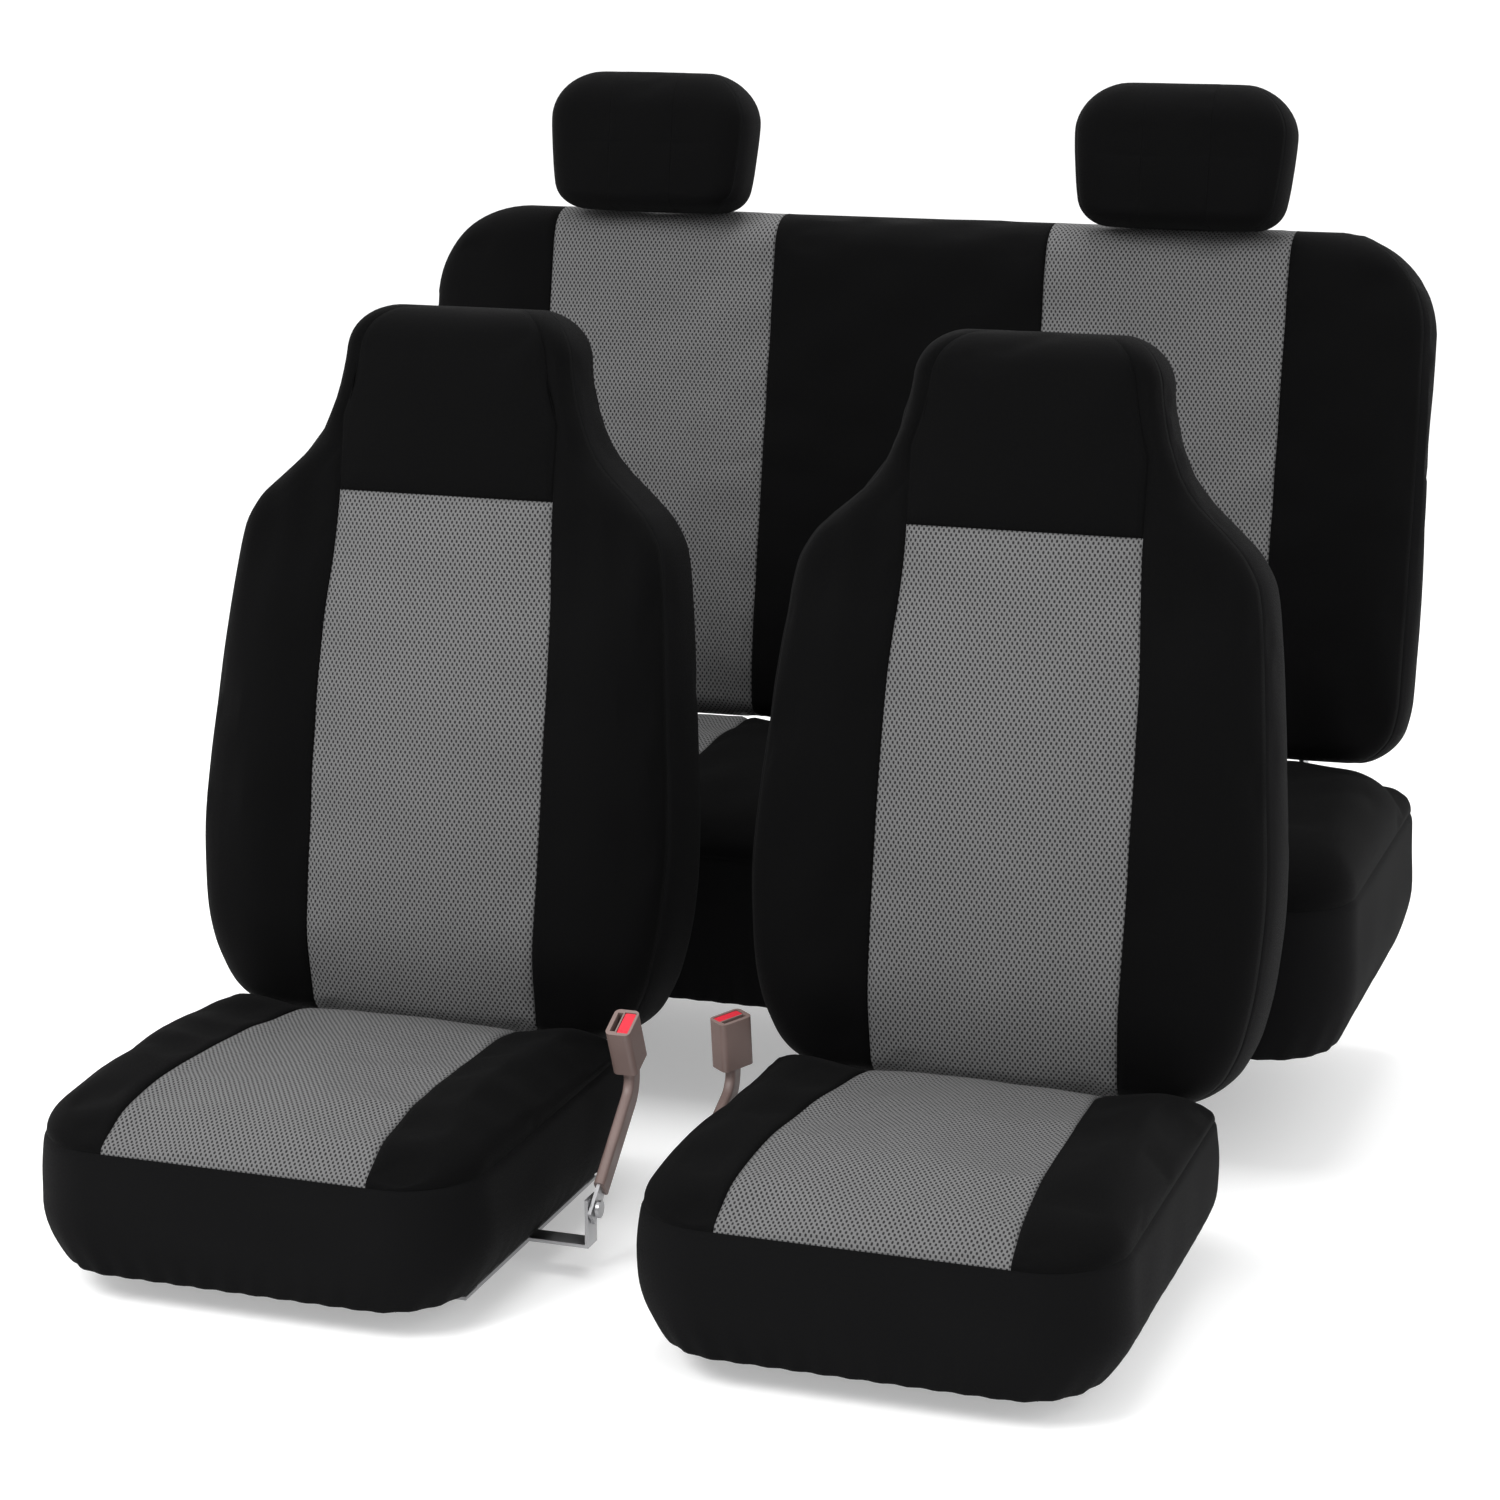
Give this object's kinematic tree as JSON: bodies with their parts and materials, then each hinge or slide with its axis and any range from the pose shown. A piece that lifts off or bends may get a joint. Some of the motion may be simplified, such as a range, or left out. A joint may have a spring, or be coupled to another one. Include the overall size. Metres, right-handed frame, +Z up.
{
  "type": "seat cover set",
  "caption": "Fitted cloth seat covers with mesh centre panels on two bucket seats and a rear bench with headrests; the seats slide, recline and fold.",
  "frame": {"origin": "middle of the footprint, on the floor", "axes": "+X to the right as seen from the front, +Y rearwards, +Z up; the seats face -Y"},
  "size_m": [1.41, 1.4916, 1.2845],
  "materials": {
    "mesh": "satin",
    "tricot": "matte",
    "elastic": "matte",
    "foam": "matte",
    "painted_steel": "satin",
    "zinc_steel": "satin",
    "chrome": "polished",
    "buckle_plastic": "satin",
    "button_plastic": "gloss",
    "guide_plastic": "satin"
  },
  "bodies": {
    "base": {"bench_cushion_foam": "foam", "bench_cushion_mesh_stripes": "mesh", "bench_cushion_skirt": "tricot", "bench_cushion_top_panels": "tricot", "bench_hem_elastic": "elastic", "bench_hinge_plates": "zinc_steel", "bench_pan": "painted_steel", "bench_risers": "painted_steel", "left_lower_rails": "zinc_steel", "right_lower_rails": "zinc_steel"},
    "left_seat": {"left_buckle_bracket": "zinc_steel", "left_cushion_foam": "foam", "left_cushion_mesh_insert": "mesh", "left_cushion_pan": "painted_steel", "left_cushion_skirt": "tricot", "left_cushion_top_panel": "tricot", "left_hem_elastic": "elastic", "left_recliner_plates": "zinc_steel", "left_upper_rails": "zinc_steel"},
    "left_backrest": {"left_back_bolsters": "tricot", "left_back_foam": "foam", "left_back_frame": "painted_steel", "left_back_head_panel": "tricot", "left_back_mesh_insert": "mesh", "left_back_rear_panel": "tricot"},
    "left_buckle": {"left_buckle_anchor_eye": "zinc_steel", "left_buckle_housing": "buckle_plastic", "left_buckle_sleeve": "buckle_plastic"},
    "left_button": {"left_buckle_button": "button_plastic"},
    "right_seat": {"right_buckle_bracket": "zinc_steel", "right_cushion_foam": "foam", "right_cushion_mesh_insert": "mesh", "right_cushion_pan": "painted_steel", "right_cushion_skirt": "tricot", "right_cushion_top_panel": "tricot", "right_hem_elastic": "elastic", "right_recliner_plates": "zinc_steel", "right_upper_rails": "zinc_steel"},
    "right_backrest": {"right_back_bolsters": "tricot", "right_back_foam": "foam", "right_back_frame": "painted_steel", "right_back_head_panel": "tricot", "right_back_mesh_insert": "mesh", "right_back_rear_panel": "tricot"},
    "right_buckle": {"right_buckle_anchor_eye": "zinc_steel", "right_buckle_housing": "buckle_plastic", "right_buckle_sleeve": "buckle_plastic"},
    "right_button": {"right_buckle_button": "button_plastic"},
    "bench_backrest": {"bench_back_foam": "foam", "bench_back_frame": "painted_steel", "bench_back_front_panels": "tricot", "bench_back_mesh_stripes": "mesh", "bench_back_rear_panel": "tricot", "bench_headrest_guides": "guide_plastic"},
    "left_headrest": {"left_headrest_cover": "tricot", "left_headrest_foam": "foam", "left_headrest_posts": "chrome"},
    "right_headrest": {"right_headrest_cover": "tricot", "right_headrest_foam": "foam", "right_headrest_posts": "chrome"}
  },
  "joints": [
    {"name": "left_seat_slide", "type": "slide", "parent": "base", "child": "left_seat", "axis": [0, -1, 0], "range_m": [-0.03, 0.17]},
    {"name": "left_recline", "type": "hinge", "parent": "left_seat", "child": "left_backrest", "pos_m": [-0.359, -0.19383, 0.121], "axis": [-1, 0, 0], "range_deg": [0, 25]},
    {"name": "left_buckle_swivel", "type": "hinge", "parent": "left_seat", "child": "left_buckle", "pos_m": [-0.039, -0.47783, 0.076], "axis": [-1, 0, 0], "range_deg": [-12, 10]},
    {"name": "left_buckle_press", "type": "slide", "parent": "left_buckle", "child": "left_button", "axis": [0, 0.4067, -0.9135], "range_m": [0, 0.004], "stiffness_N_per_m": 900},
    {"name": "right_seat_slide", "type": "slide", "parent": "base", "child": "right_seat", "axis": [0, -1, 0], "range_m": [-0.03, 0.17]},
    {"name": "right_recline", "type": "hinge", "parent": "right_seat", "child": "right_backrest", "pos_m": [0.359, -0.19383, 0.121], "axis": [-1, 0, 0], "range_deg": [0, 25]},
    {"name": "right_buckle_swivel", "type": "hinge", "parent": "right_seat", "child": "right_buckle", "pos_m": [0.039, -0.37383, 0.076], "axis": [-1, 0, 0], "range_deg": [-12, 10]},
    {"name": "right_buckle_press", "type": "slide", "parent": "right_buckle", "child": "right_button", "axis": [0, 0.1392, -0.9903], "range_m": [0, 0.004], "stiffness_N_per_m": 900},
    {"name": "bench_fold", "type": "hinge", "parent": "base", "child": "bench_backrest", "pos_m": [0, 0.57617, 0.433], "axis": [1, 0, 0], "range_deg": [0, 30]},
    {"name": "left_headrest_lift", "type": "slide", "parent": "bench_backrest", "child": "left_headrest", "axis": [0, 0.1547, 0.988], "range_m": [0, 0.06]},
    {"name": "right_headrest_lift", "type": "slide", "parent": "bench_backrest", "child": "right_headrest", "axis": [0, 0.1547, 0.988], "range_m": [0, 0.06]}
  ]
}
